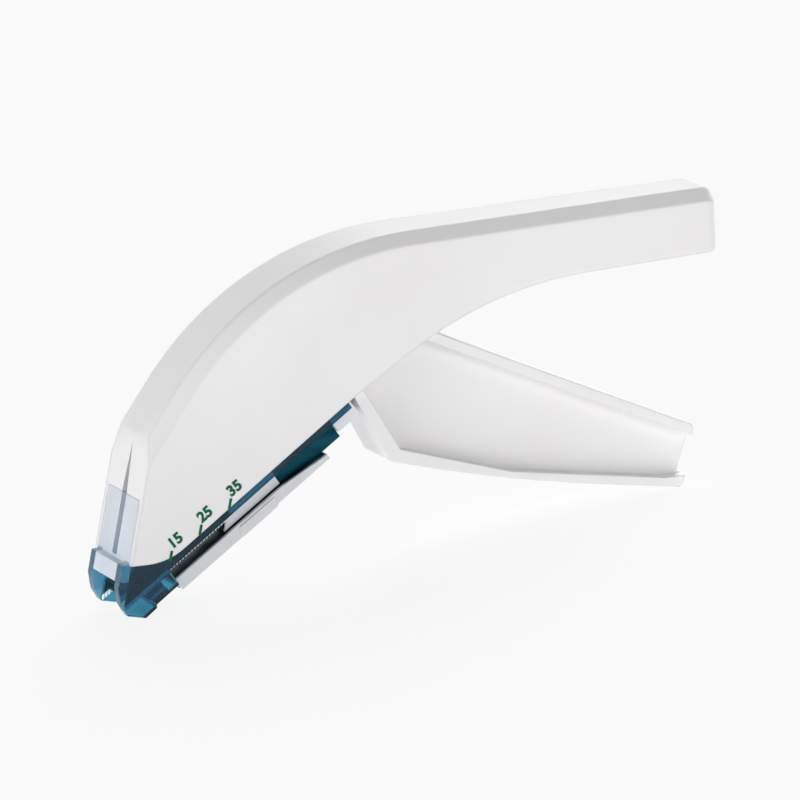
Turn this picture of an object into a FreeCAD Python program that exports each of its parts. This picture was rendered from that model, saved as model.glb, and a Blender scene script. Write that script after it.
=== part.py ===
"""Disposable skin stapler: two white half shells, a squeeze lever, a clear nose and
magazine with a row of staples, and the driver that bends them round the anvil.

Frame: the stapler stands on its nose tip and on the lever's heel, as on a table.
+X runs from the nose to the tail, Y is its width, +Z is up, and the XZ plane is
the mould seam.  The left hand side, as the user sees it, is at -Y.

Three directions lay out the inside:
  nose line      the way the driver pushes a staple, nose_lean off the vertical
  magazine line  the way the staples queue, magazine_slope off the horizontal
  node           where the two meet, at the crown of the first staple
"""
import FreeCAD, Part
import math
import os
import re
import Sketcher

SIZES = {
    # where the drawing's datum lies over the table and along the footprint
    "datum_x": -12.82, "datum_z": 45.26,
    # side outline of the shells
    "front_x": -59.6, "front_z": -32.5, "nose_lean": 18.4,
    "magazine_slope": 28.8, "sole_x": -51.2, "sole_rise": 7.2,
    "crest_x": -20.1, "crest_z": 28.2, "brow_slope": 48.0, "back_slope": 4.25,
    "tail_x": 88.6, "tail_foot_x": 87.4, "tail_foot_z": 6.0,
    "hip_x": 31.7, "hip_z": 9.5, "gate_x": -3.8, "gate_z": -7.5,
    "crest_round": 72.0, "hip_round": 90.0, "tail_round": 2.4, "sole_round": 15.0,
    # widths and walls of the shells
    "half_nose": 10.8, "half_tail": 8.3, "wall": 1.6, "roof": 2.4, "bevel": 2.7,
    "window_top": 20.0, "slot_top": 31.5, "slot_half": 1.5, "slot_back": 2.0,
    "lever_gap_end": 41.0, "fit_gap": 0.1,
    # posts that join the shells at the seam
    "post_round": 2.1, "peg_round": 1.1, "peg_long": 2.4, "peg_gap": 0.05,
    "post_tail_x": 66.0, "post_tail_z": 13.8, "post_mid_x": 15.0, "post_mid_z": 18.6,
    "post_gap": 0.15, "post_over": 9.6,
    "rib_first_x": 50.0, "rib_pitch": 10.0, "rib_thick": 1.0, "rib_deep": 3.2, "rib_low": 8.9,
    "rib_count": 4,
    # pivot
    "pivot_x": -17.0, "pivot_z": -3.0, "pin_round": 1.5, "pin_seat": 1.8,
    "boss_round": 3.2, "boss_gap": 0.3, "bush_round": 2.4, "bush_gap": 0.05,
    "hub_round": 4.6, "hub_half": 3.2,
    # lever
    "grip_top_x": 76.8, "grip_top_z": -32.1, "grip_slope": 30.2,
    "grip_end_x": 76.2, "grip_end_z": -35.1, "heel_x": 72.5, "heel_z": -45.5,
    "knee_x": 32.3, "knee_z": -35.1, "knee_round": 400.0,
    "toe_x": 4.1, "toe_z": -24.1, "throat_x": -6.3, "throat_z": 2.0,
    "shoulder_x": 6.0, "grip_half": 6.9, "grip_recess": 3.2, "flange": 2.15,
    "web_end": 1.0, "heel_round": 1.2, "lip_round": 1.0,
    "arm_half": 2.6, "arm_wide": 2.6, "tip_back": 4.0, "tip_up": 27.0, "tip_round": 2.1,
    "tip_pin_round": 1.2, "pin_short": 0.4,
    # return spring round the hub
    "coil_round": 3.6, "coil_wire": 0.7, "coil_turns": 2.43, "coil_gap": 0.5,
    "coil_lean": 25.7, "coil_rest": 9.8, "coil_cross": 4.2, "coil_hold": 10.5,
    # driver
    "drive_thick": 0.6, "drive_gap": 0.2, "drive_over": 0.1, "drive_low": 3.6,
    "drive_clear": 0.4, "notch_gap": 0.2, "drive_notch_deep": 5.0,
    "cheek_gap": 0.6, "cheek_thick": 2.4, "carrier_tall": 6.6, "carrier_base": 1.7,
    "carrier_back": 13.8, "guide_gap": 0.6, "guide_back": 13.0,
    "rivet_round": 0.75, "rivet_reach": 2.0,
    # staples
    "crown_drop": 0.3, "wire": 0.58, "staple_gap": 0.005, "crown_half": 6.3,
    "leg_long": 5.0, "staple_count": 35,
    # anvil and rail
    "anvil_half": 3.0, "anvil_front": -1.6, "anvil_thick": 0.8, "anvil_wide_from": 0.95,
    "crown_gap": 0.05, "leg_gap": 0.22, "tip_gap": 0.19, "rail_gauge": 0.6,
    "rail_front": 7.05, "rail_back": 57.6, "rail_step_gap": 0.4,
    "bed_inset": 0.3, "bed_front": 2.5, "bed_back": 6.9, "sill_thick": 1.0,
    # clear nose frame
    "bay_gap": 0.3, "frame_top": 1.3, "frame_low": 2.0, "frame_over": 5.4,
    "sole_deep": 6.1, "foot_back": 9.3, "foot_reach": 3.3, "foot_top": 5.9,
    "toe_front": 4.3, "toe_low": 5.35, "toe_back": 2.8, "sill_front": 2.2, "brow_depth": 5.0,
    "glass_thick": 1.3, "glass_low": 1.6, "glass_slot_half": 1.3, "glass_slot_low": 6.5,
    # follower with its spring and rod
    "follower_long": 10.9, "follower_floor": 1.0, "follower_rise": 0.15, "slide_gap": 0.12,
    "tab_long": 3.3, "tab_half": 1.6, "rod_round": 0.5, "rod_seat": 1.6, "spring_gap": 0.14,
    "rod_gap": 0.08, "rod_front": 8.0, "spring_round": 0.98, "spring_wire": 0.17,
    "spring_pitch": 1.0,
    # magazine cover and end plug
    "cover_gap": 0.2, "cover_wall": 1.1, "cover_deep": 2.85, "cover_floor": 1.3,
    "cover_step": 37.4, "cover_back": 52.5, "cover_thin": 0.35,
    "pad_front": 26.6, "pad_raise": 0.35, "pad_down": 0.6,
    "latch_long": 3.7, "latch_deep": 0.35, "latch_half": 5.2,
    "plug_long": 6.2, "plug_top": -0.1,
}

WORKED = {
    "cos_n": "cos(nose_lean)", "sin_n": "sin(nose_lean)",
    "cos_m": "cos(magazine_slope)", "sin_m": "sin(magazine_slope)",
    "cross": "cos(nose_lean + magazine_slope)",
    "half_wire": "wire / 2", "drive_inset": "glass_thick + drive_gap + drive_thick / 2",
    "tail_z": "crest_z - (tail_x - crest_x) * tan(back_slope)",
    "sole_z": "gate_z - (gate_x - sole_x) * tan(magazine_slope)",
    "brow_x": "(sole_z - crest_z + sole_x * tan(sole_rise) + crest_x * tan(brow_slope))"
              " / (tan(brow_slope) + tan(sole_rise))",
    "brow_z": "crest_z - (crest_x - brow_x) * tan(brow_slope)",
    "draft": "(half_nose - half_tail) / (tail_x - front_x)",
    "half_datum": "half_nose + front_x * draft",
    "nose_face": "180 - nose_lean", "brow_face": "brow_slope + 90", "back_face": "90 - back_slope",
    "tail_face": "-atan((tail_x - tail_foot_x) / (tail_z - tail_foot_z)) / 1deg",
    "tail_under": "atan((tail_foot_z - hip_z) / (tail_foot_x - hip_x)) / 1deg - 90",
    "throat_under": "atan((hip_z - gate_z) / (hip_x - gate_x)) / 1deg - 90",
    "kink_up": "(crest_z - front_z - (crest_x - front_x) * tan(brow_slope))"
               " / (cos_n - sin_n * tan(brow_slope))",
    "queue": "((front_x * cos_n - front_z * sin_n + drive_inset) - (gate_x + crown_drop * sin_m)"
             " * cos_n + (gate_z - crown_drop * cos_m) * sin_n) / cross",
    "node_x": "gate_x + crown_drop * sin_m + queue * cos_m",
    "node_z": "gate_z - crown_drop * cos_m + queue * sin_m",
    "pitch": "(wire + staple_gap) / cross",
    "stack_end": "(staple_count - 0.5) * pitch + staple_gap",
    "tip_x": "node_x + tip_back * cos_n + tip_up * sin_n",
    "tip_z": "node_z - tip_back * sin_n + tip_up * cos_n",
    "rail_half": "crown_half - wire - leg_gap", "saddle_half": "rail_half + slide_gap",
    "bed_half": "rail_half - bed_inset", "bay_half": "crown_half + bay_gap",
    "plug_half": "bay_half - fit_gap", "cover_half": "bay_half + cover_gap + cover_wall",
    "drive_half": "crown_half + drive_over", "drive_notch_half": "anvil_half + notch_gap",
    "kink_rise": "kink_up + (front_x - node_x) * sin_n + (front_z - node_z) * cos_n",
    "drive_high": "kink_rise + (drive_inset - drive_thick / 2) * tan(nose_lean + brow_slope)"
                  " - roof / cos(nose_lean + brow_slope) - drive_clear",
    "cheek_inner": "arm_half + cheek_gap", "carrier_half": "cheek_inner + cheek_thick",
    "tip_pin_half": "carrier_half - pin_short",
    "guide_low": "tip_up - tip_pin_round - guide_gap",
    "guide_high": "tip_up + tip_pin_round + guide_gap",
    "carrier_low": "tip_up - carrier_tall / 2", "carrier_high": "tip_up + carrier_tall / 2",
    "wire_lean": "half_wire * sin(nose_lean + magazine_slope)",
    "rail_top": "wire * cross + wire_lean + crown_gap",
    "rail_low": "leg_long * cross + wire_lean + tip_gap",
    "follower_low": "rail_low + fit_gap + follower_floor",
    "cover_top": "follower_low + cover_gap", "cover_low": "cover_top + cover_deep",
    "step_low": "cover_low - cover_thin", "tray_floor": "step_low - cover_floor",
    "boss_face": "grip_half + boss_gap", "pin_half": "boss_face + pin_seat",
    "grip_clear": "max(grip_top_x; heel_x) + 4",
    "post_brow_x": "pivot_x - coil_round - coil_wire / 2 - post_round - post_gap",
    "post_brow_z": "pivot_z + post_over", "bed_low": "sole_deep - sill_thick",
    "coil_start": "hub_half + coil_gap",
    "rod_drop": "rail_top + rail_gauge + spring_round + spring_wire + spring_gap",
    "plug_back": "rail_back + plug_long", "frame_back": "rail_back + frame_over",
}

doc = FreeCAD.newDocument("skin_stapler")


def make_sheet(name, cells):
    """A sheet with one row per value: its name in column A, the value in column B."""
    sheet = doc.addObject("Spreadsheet::Sheet", name)
    for row, (alias, value) in enumerate(cells.items(), start=1):
        sheet.set("A%d" % row, alias)
        sheet.set("B%d" % row, value if isinstance(value, str) else repr(value))
        sheet.setAlias("B%d" % row, alias)
    doc.recompute()
    return sheet


def formula(text):
    """Point every size named in a formula at the sheet that holds it."""
    def owner(match):
        word = match.group(0)
        if word in SIZES:
            return "Sizes." + word
        if word in WORKED:
            return "Worked." + word
        return word
    return re.sub(r"[a-z_]+", owner, str(text))


sizes = make_sheet("Sizes", SIZES)
worked = make_sheet("Worked", {alias: "=" + formula(text).replace("Worked.", "")
                               for alias, text in WORKED.items()})


def value(alias):
    """The number a named size has now."""
    return float(getattr(sizes if alias in SIZES else worked, alias))


def nose(back, up):
    """A point given behind the driver's middle plane and up the nose line."""
    return ("node_x + (%s) * cos_n + (%s) * sin_n" % (back, up),
            "node_z - (%s) * sin_n + (%s) * cos_n" % (back, up))


def magazine(along, down):
    """A point given along the queue from the nose and down from its crown line."""
    return ("node_x + (%s) * cos_m + (%s) * sin_m" % (along, down),
            "node_z + (%s) * sin_m - (%s) * cos_m" % (along, down))


parts = []


def new_body(label):
    """A body that stands at the datum and becomes one named sub-part."""
    body = doc.addObject("PartDesign::Body", label)
    body.Label = label
    seat(body)
    parts.append(body)
    return body


def seat(piece):
    piece.setExpression("Placement.Base.x", formula("datum_x"))
    piece.setExpression("Placement.Base.z", formula("datum_z"))


def plane(body, role):
    return next(item for item in body.Origin.OriginFeatures if item.Role == role)


def attach(sketch, body, role, offset):
    sketch.AttachmentSupport = (plane(body, role), [""])
    sketch.MapMode = "FlatFace"
    if offset is not None:
        sketch.setExpression(".AttachmentOffset.Base.z", formula(offset))


gauge = doc.addObject("Spreadsheet::Sheet", "Gauge")
gauge_row = [0]


def measure(text):
    """The number that a formula gives now, worked out by a cell of the gauge sheet."""
    gauge_row[0] += 1
    cell = "A%d" % gauge_row[0]
    gauge.set(cell, "=" + formula(text))
    gauge.recompute()
    return float(gauge.get(cell))


def outline(body, points, role="XZ_Plane", offset=None):
    """A closed outline: corners are formulas in the plane's axes, a third one rounds a corner."""
    sketch = body.newObject("Sketcher::SketchObject", "Sketch")
    attach(sketch, body, role, offset)
    corners = [FreeCAD.Vector(measure(point[0]), measure(point[1]), 0) for point in points]
    count = len(points)
    rounds = [measure(point[2]) if len(point) > 2 else 0 for point in points]
    trims = []
    for i, corner in enumerate(corners):
        before, after = corners[i - 1] - corner, corners[(i + 1) % count] - corner
        reach = rounds[i] / math.tan(before.getAngle(after) / 2)
        trims.append((corner + before.normalize() * reach, corner + after.normalize() * reach))
    for i in range(count):
        sketch.addGeometry(Part.LineSegment(trims[i][1], trims[(i + 1) % count][0]), False)
    for i, point in enumerate(points):
        line_in, line_out = (i - 1) % count, i
        if rounds[i]:
            spot = sketch.addGeometry(Part.Point(corners[i]), True)
            for line in (line_in, line_out):
                sketch.addConstraint(Sketcher.Constraint("PointOnObject", spot, 1, line))
            round_in_sketch(sketch, line_in, line_out, corners[i], trims[i], rounds[i], point[2])
            geometry = spot
        else:
            sketch.addConstraint(Sketcher.Constraint("Coincident", line_in, 2, line_out, 1))
            geometry = line_out
        for kind, text, start in zip(("DistanceX", "DistanceY"), point, tuple(corners[i])):
            index = sketch.addConstraint(Sketcher.Constraint(kind, geometry, 1, start))
            sketch.setExpression("Constraints[%d]" % index, formula(text))
    return sketch


def round_in_sketch(sketch, line_in, line_out, corner, trim, radius, text):
    """An arc tangent to the two lines that meet at a corner."""
    middle = trim[0] + trim[1] - corner * 2
    leg = (trim[0] - corner).Length
    centre = corner + middle.normalize() * math.hypot(leg, radius)
    angles = [math.atan2(end.y - centre.y, end.x - centre.x) for end in trim]
    turns_left = math.sin(angles[1] - angles[0]) > 0
    first, last = angles if turns_left else angles[::-1]
    circle = Part.Circle(centre, FreeCAD.Vector(0, 0, 1), radius)
    arc = sketch.addGeometry(Part.ArcOfCircle(circle, first, last), False)
    ends = (1, 2) if turns_left else (2, 1)
    sketch.addConstraint(Sketcher.Constraint("Tangent", line_in, 2, arc, ends[0]))
    sketch.addConstraint(Sketcher.Constraint("Tangent", line_out, 1, arc, ends[1]))
    index = sketch.addConstraint(Sketcher.Constraint("Radius", arc, radius))
    sketch.setExpression("Constraints[%d]" % index, formula(text))


def ring(body, x, z, radius, offset=None, role="XZ_Plane"):
    """A circle whose centre and radius are formulas."""
    sketch = body.newObject("Sketcher::SketchObject", "Sketch")
    attach(sketch, body, role, offset)
    sketch.addGeometry(Part.Circle(FreeCAD.Vector(1, 1, 0), FreeCAD.Vector(0, 0, 1), 1), False)
    for kind, text in (("DistanceX", x), ("DistanceY", z)):
        index = sketch.addConstraint(Sketcher.Constraint(kind, 0, 3, 1.0))
        sketch.setExpression("Constraints[%d]" % index, formula(text))
    index = sketch.addConstraint(Sketcher.Constraint("Radius", 0, 1.0))
    sketch.setExpression("Constraints[%d]" % index, formula(radius))
    return sketch


def extrude(body, kind, sketch, length, side):
    """Pad or pocket a sketch: side is both, or the sign of Y it runs towards."""
    feature = body.newObject("PartDesign::" + kind, kind)
    feature.Profile = sketch
    feature.SideType = "Symmetric" if side == "both" else "One side"
    feature.setExpression("Length", formula(length))
    if side != "both":
        towards_minus = side < 0
        feature.Reversed = not towards_minus if kind == "Pad" else towards_minus
    sketch.Visibility = False
    return feature


def slab(body, points, half, side="both"):
    """Material between two planes beside the seam, half its width each side."""
    length = "2 * (%s)" % half if side == "both" else half
    return extrude(body, "Pad", outline(body, points), length, side)


def trench(body, points, half, side="both"):
    """The same region taken away."""
    length = "2 * (%s)" % half if side == "both" else half
    return extrude(body, "Pocket", outline(body, points), length, side)


def taper(body, inset, sides=(-1, 1)):
    """Trim the sides to the shells' draft, inset from their outer faces."""
    ends = ("front_x - 30", "tail_x + 10")
    for side in sides:
        edge = "%d * (half_nose - (%%s - front_x) * draft - (%s))" % (side, inset)
        far = "%d * (half_nose + 20)" % side
        points = [(ends[0], edge % ("(%s)" % ends[0])), (ends[1], edge % ("(%s)" % ends[1])),
                  (ends[1], far), (ends[0], far)]
        feature = body.newObject("PartDesign::Pocket", "Draft")
        feature.Profile = outline(body, points, "XY_Plane")
        feature.SideType = "Symmetric"
        feature.Length = 300
    return feature


def edges_near(shape, test):
    return ["Edge%d" % (i + 1) for i, edge in enumerate(shape.Edges) if test(edge)]


def across(edge):
    """True for a straight edge that runs square across the seam."""
    if not isinstance(edge.Curve, (Part.Line, Part.LineSegment)):
        return False
    way = edge.Vertexes[-1].Point - edge.Vertexes[0].Point
    return way.Length > 0.2 and abs(way.y) > 0.97 * way.Length


def facet_points():
    """The region in front of the nose's flat front face."""
    near = "-(drive_inset)"
    far = "-(drive_inset + 40)"
    return [nose(near, "-15"), nose(near, "70"), nose(far, "70"), nose(far, "-15")]


def shell_outline():
    return [("crest_x", "crest_z", "crest_round"), ("tail_x", "tail_z"),
            ("tail_foot_x", "tail_foot_z"), ("hip_x", "hip_z", "hip_round"),
            ("gate_x", "gate_z"), ("sole_x", "sole_z", "sole_round"), ("brow_x", "brow_z")]


def half_shell(label, side):
    """One moulded half of the housing, open at the seam, the magazine and the nose."""
    body = new_body(label)
    drafted_blank(body, side)
    bevel_top(body, side)
    round_tail(body)
    trench(body, facet_points(), "half_nose + 6")
    trench(body, past_seam_points(), "half_nose", -side)
    hollow(body, side)
    trench(body, window_points(), "half_nose - wall", side)
    trench(body, lever_gap_points(), "boss_face + fit_gap", side)
    front_slot(body)
    pivot_boss(body, side)
    seam_posts(body, side)
    handle_ribs(body, side)
    return body


def drafted_blank(body, side):
    """The shell's outline drawn on its own drafted side plane and padded in past the seam."""
    sketch = outline(body, shell_outline(), offset="%d * half_datum" % -side)
    sketch.AttachmentOffset = FreeCAD.Placement(
        FreeCAD.Vector(0, 0, 0), FreeCAD.Rotation(FreeCAD.Vector(0, 1, 0), 1))
    sketch.setExpression(".AttachmentOffset.Base.z", formula("%d * half_datum" % -side))
    sketch.setExpression(".AttachmentOffset.Rotation.Angle", formula("%d * atan(draft)" % -side))
    extrude(body, "Pad", sketch, "half_nose + 3", -side)


def past_seam_points():
    """All that a half shell's blank has beyond the seam."""
    return [("front_x - 30", "front_z - 20"), ("tail_x + 10", "front_z - 20"),
            ("tail_x + 10", "crest_z + 10"), ("front_x - 30", "crest_z + 10")]


def bevel_top(body, side):
    """The long bevel between the side and the back, from the nose round to the tail."""
    doc.recompute()
    base = body.Tip
    back = measure("tail_z - 0.1")

    def on_top(edge):
        middle = edge.valueAt((edge.FirstParameter + edge.LastParameter) / 2)
        if side * middle.y < 3 or across(edge):
            return False
        over_brow = middle.z > measured_brow(middle.x) - 0.8
        return over_brow or (middle.x > value("crest_x") and middle.z > back)

    feature = body.newObject("PartDesign::Chamfer", "Bevel")
    feature.Base = (base, edges_near(base.Shape, on_top))
    feature.setExpression("Size", formula("bevel"))


def round_tail(body):
    """All the edges of the tail's end face rounded."""
    doc.recompute()
    base = body.Tip
    end = min(value("tail_x"), value("tail_foot_x")) - value("tail_round") / 4

    def on_end(edge):
        return all(corner.X > end for corner in edge.Vertexes)

    feature = body.newObject("PartDesign::Fillet", "TailRound")
    feature.Base = (base, edges_near(base.Shape, on_end))
    feature.setExpression("Radius", formula("tail_round"))


def measured_brow(x):
    slope = math.tan(math.radians(value("brow_slope")))
    return value("crest_z") - (value("crest_x") - x) * slope


def inset(corner, angle_a, depth_a, angle_b, depth_b):
    """An outline corner moved in from its two faces, whose outward normals have these angles."""
    turn = "sin((%s) - (%s))" % (angle_b, angle_a)
    along = "((%s) * sin(%s) - (%s) * sin(%s)) / %s" % (depth_a, angle_b, depth_b, angle_a, turn)
    up = "((%s) * cos(%s) - (%s) * cos(%s)) / %s" % (depth_b, angle_a, depth_a, angle_b, turn)
    return (corner[0] + " - " + along, corner[1] + " - " + up)


def hollow(body, side):
    """The cavity, drawn one wall in from the drafted side and cut through to the seam."""
    kink = ("front_x + kink_up * sin_n", "front_z + kink_up * cos_n")
    crest_in = inset(("crest_x", "crest_z"), "brow_face", "roof", "back_face", "roof")
    tail_in = inset(("tail_x", "tail_z"), "back_face", "roof", "tail_face", "wall")
    foot_in = inset(("tail_foot_x", "tail_foot_z"), "tail_face", "wall", "tail_under", "wall")
    hip_in = inset(("hip_x", "hip_z"), "tail_under", "wall", "throat_under", "wall")
    points = [crest_in + ("crest_round - roof",), tail_in, foot_in, hip_in + ("hip_round + wall",),
              ("gate_x + wall * cos(throat_under + 180)", "gate_z + wall * sin(throat_under + 180)"),
              ("gate_x - wall / 2", "gate_z - 2 * wall"), ("sole_x", "sole_z - 14"),
              nose("glass_thick - drive_inset", "-18"),
              inset(kink, "nose_face", "glass_thick", "brow_face", "roof")]
    sketch = outline(body, points)
    sketch.AttachmentOffset = FreeCAD.Placement(
        FreeCAD.Vector(0, 0, 0), FreeCAD.Rotation(FreeCAD.Vector(0, 1, 0), 1))
    sketch.setExpression(".AttachmentOffset.Base.z", formula("%d * (half_datum - wall)" % -side))
    sketch.setExpression(".AttachmentOffset.Rotation.Angle", formula("%d * atan(draft)" % -side))
    extrude(body, "Pocket", sketch, "half_nose + 3", -side)


def window_points():
    """Where the clear insert fills the front face, between the side walls."""
    return [nose("-(drive_inset + 2)", "window_top"), nose("glass_thick + 1", "window_top"),
            nose("glass_thick + 1", "-3"), nose("-(drive_inset + 2)", "-3")]


def lever_gap_points():
    """The slot in the underside that the lever swings up into."""
    return [("gate_x - 2", "gate_z - 3"), ("lever_gap_end", "gate_z - 3"),
            ("lever_gap_end", "hip_z + 3 * wall"), ("hip_x - 10", "hip_z + 3 * wall"),
            ("gate_x - 2", "gate_z + 4 * wall")]


def front_slot(body):
    """The tapered slot down the front face, shallow at the top."""
    top = nose("-(drive_inset)", "slot_top")[1]
    low = nose("-(drive_inset)", "window_top - 1")[1]
    sketch = outline(body, [("0.01", top), ("slot_half", low), ("-(slot_half)", low),
                            ("-0.01", top)], "YZ_Plane", "node_x + slot_back + window_top * sin_n")
    feature = body.newObject("PartDesign::Pocket", "Slot")
    feature.Profile = sketch
    feature.SideType = "One side"
    feature.Length = 30
    feature.Reversed = False
    return feature


def pivot_boss(body, side):
    """The boss that holds one end of the pivot pin."""
    reach = "half_nose - wall - boss_face"
    away = "%d * boss_face" % -side
    disc = ring(body, "pivot_x", "pivot_z", "boss_round", away)
    extrude(body, "Pad", disc, reach, side)
    hole = ring(body, "pivot_x", "pivot_z", "pin_round", away)
    extrude(body, "Pocket", hole, "pin_half - boss_face", side)


def seam_posts(body, side):
    """Posts from the side wall to the seam: pegs on the left half, sockets on the right."""
    for spot in ("tail", "mid", "brow"):
        x, z = "post_%s_x" % spot, "post_%s_z" % spot
        tall = "half_nose - (%s - front_x) * draft - wall / 2" % x
        extrude(body, "Pad", ring(body, x, z, "post_round"), tall, side)
        if side < 0:
            extrude(body, "Pad", ring(body, x, z, "peg_round"), "peg_long", 1)
        else:
            extrude(body, "Pocket", ring(body, x, z, "peg_round + peg_gap"), "peg_long + 0.3", 1)


def handle_ribs(body, side):
    """Cross ribs inside the handle, repeated towards the tail."""
    top, low = "tail_z - roof", "rib_low"
    away = "%d * (half_tail - wall - rib_deep)" % -side
    points = [("rib_first_x", low), ("rib_first_x + rib_thick", low),
              ("rib_first_x + rib_thick", top), ("rib_first_x", top)]
    rib = extrude(body, "Pad", outline(body, points, offset=away), "rib_deep + wall / 2", side)
    rows = body.newObject("PartDesign::LinearPattern", "Ribs")
    rows.Originals = [rib]
    rows.Direction = (plane(body, "X_Axis"), [""])
    rows.setExpression("Length", formula("(rib_count - 1) * rib_pitch"))
    rows.setExpression("Occurrences", formula("rib_count"))
    body.Tip = rows


def lever():
    """The squeeze lever: a flanged grip outside, and inside a hub and an arm to the driver."""
    body = new_body("trigger_lever")
    shoulder = ("shoulder_x", "grip_top_z + (grip_top_x - shoulder_x) * tan(grip_slope)")
    grip = [("throat_x", "throat_z"), shoulder, ("grip_top_x", "grip_top_z", "lip_round"),
            ("grip_end_x", "grip_end_z"), ("heel_x", "heel_z", "heel_round"),
            ("knee_x", "knee_z", "knee_round"), ("toe_x", "toe_z", "heel_round")]
    slab(body, grip, "grip_half")
    for side in (-1, 1):
        away = "%d * (grip_half - grip_recess)" % -side
        sketch = outline(body, recess_points(), offset=away)
        extrude(body, "Pocket", sketch, "grip_recess + 1", side)
    trench(body, web_end_points(), "grip_half + 1")
    arm(body)
    extrude(body, "Pocket", ring(body, "pivot_x", "pivot_z", "bush_round"), "4 * hub_half", "both")
    extrude(body, "Pocket", ring(body, "tip_x", "tip_z", "tip_pin_round"), "4 * hub_half", "both")
    return body


def recess_points():
    """The grip's side between its top, front and bottom flanges, open to the tail."""
    top = "(grip_top_z - flange / cos(grip_slope) + (grip_top_x - (%s)) * tan(grip_slope))"
    front = "toe_x + flange * 1.3"
    low = "(toe_x - throat_x) / (throat_z - toe_z)"
    high = "throat_x + flange * 1.1 + 2 * " + low
    tail = "grip_clear"
    return [(high, "throat_z - 2"), ("throat_x + 7.5", top % "throat_x + 7.5"),
            (tail, top % tail), (tail, "heel_z + flange * 1.05 - 0.7"),
            ("heel_x - 4", "heel_z + flange * 1.05 + 0.8"),
            ("knee_x", "knee_z + flange * 1.05"), (front, "toe_z + flange * 0.95")]


def web_end_points():
    """The web stops short of the flanges at the tail."""
    inner = "flange * 1.05"
    return [("grip_top_x - web_end", "grip_top_z + 0.6 - 2 * flange"),
            ("grip_clear", "grip_top_z - 1.35 * flange"),
            ("grip_clear", "heel_z + 1.1 + " + inner),
            ("heel_x + web_end / 4", "heel_z + 0.4 + " + inner)]


def arm(body):
    """The hub on the pivot and the arm that reaches forward to the driver."""
    slab(body, [("throat_x - 4", "throat_z + 1.5"), ("shoulder_x", "throat_z + 3.5"),
                ("throat_x + 5.5", "throat_z - 9"), ("pivot_x + 1", "pivot_z - hub_round"),
                ("pivot_x - 1", "pivot_z + hub_round")], "hub_half")
    extrude(body, "Pad", ring(body, "pivot_x", "pivot_z", "hub_round"), "2 * hub_half", "both")
    slab(body, [("pivot_x - 1", "pivot_z + hub_round - 0.4"), ("tip_x - 0.6", "tip_z + arm_wide - 0.5"),
                ("tip_x + 0.6", "tip_z - arm_wide + 0.5"), ("pivot_x + 1", "pivot_z - hub_round + 0.4")],
         "arm_half")
    extrude(body, "Pad", ring(body, "tip_x", "tip_z", "tip_round"), "2 * arm_half", "both")


def round_bar(label, x, z, radius, half):
    """A plain pin across the seam."""
    body = new_body(label)
    extrude(body, "Pad", ring(body, x, z, radius), "2 * (%s)" % half, "both")
    return body


def bush():
    """The sleeve pressed into the lever's hub, which runs on the pin."""
    body = round_bar("pivot_bush", "pivot_x", "pivot_z", "bush_round", "grip_half")
    extrude(body, "Pocket", ring(body, "pivot_x", "pivot_z", "pin_round + bush_gap"),
            "4 * hub_half + 8", "both")
    return body


def driver_plate():
    """The steel blade with a notch that clears the anvil."""
    body = new_body("driver_plate")
    half = "drive_thick / 2"
    slab(body, [nose("-(%s)" % half, "drive_low"), nose(half, "drive_low"),
                nose(half, "drive_high"), nose("-(%s)" % half, "drive_high")], "drive_half")
    trench(body, [nose("-1", "drive_low - 1"), nose("1", "drive_low - 1"),
                  nose("1", "drive_low + drive_notch_deep"),
                  nose("-1", "drive_low + drive_notch_deep")], "drive_notch_half")
    return body


def driver_carrier():
    """The slider on the back of the blade, whose two cheeks guide the lever's pin."""
    body = new_body("driver_carrier")
    front = "drive_thick / 2"
    slab(body, [nose(front, "carrier_low"), nose("carrier_back", "carrier_low"),
                nose("carrier_back", "carrier_high"), nose(front, "carrier_high")], "carrier_half")
    trench(body, [nose("carrier_base", "carrier_low - 1"), nose("carrier_back + 1", "carrier_low - 1"),
                  nose("carrier_back + 1", "carrier_high + 1"),
                  nose("carrier_base", "carrier_high + 1")], "cheek_inner")
    trench(body, [nose("carrier_base - 0.05", "guide_low"), nose("guide_back", "guide_low"),
                  nose("guide_back", "guide_high"), nose("carrier_base - 0.05", "guide_high")],
           "carrier_half + 1")
    return body


def anvil():
    """The steel plate whose narrow tongue lies under the first staple's crown."""
    body = new_body("anvil_plate")
    low = "rail_top + anvil_thick"
    slab(body, [magazine("anvil_front", "rail_top"), magazine("rail_front - 0.05", "rail_top"),
                magazine("rail_front - 0.05", low), magazine("anvil_front", low)], "anvil_half")
    slab(body, [magazine("anvil_wide_from", "rail_top"), magazine("rail_front - 0.05", "rail_top"),
                magazine("rail_front - 0.05", low), magazine("anvil_wide_from", low)], "rail_half")
    return body


def rail():
    """The folded steel channel that the staples straddle, deeper behind the follower."""
    body = new_body("staple_rail")
    step = "stack_end + follower_long + rail_step_gap"
    slab(body, [magazine("rail_front", "rail_top"), magazine("rail_back", "rail_top"),
                magazine("rail_back", "tray_floor"), magazine(step, "tray_floor"),
                magazine(step, "rail_low"), magazine("rail_front", "rail_low")], "rail_half")
    trench(body, [magazine("rail_front - 1", "rail_top + rail_gauge"),
                  magazine("rail_back + 1", "rail_top + rail_gauge"),
                  magazine("rail_back + 1", "tray_floor + 1"),
                  magazine("rail_front - 1", "tray_floor + 1")], "rail_half - rail_gauge")
    return body


def staple_points(along):
    """The side of one staple's wire plane, standing across the queue."""
    shift = magazine(along, "0")
    face = []
    for back, up in (("-(half_wire)", "0"), ("half_wire", "0"),
                     ("half_wire", "-(leg_long)"), ("-(half_wire)", "-(leg_long)")):
        x, z = nose(back, up)
        face.append((x + " - node_x + " + shift[0], z + " - node_z + " + shift[1]))
    return face


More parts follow.
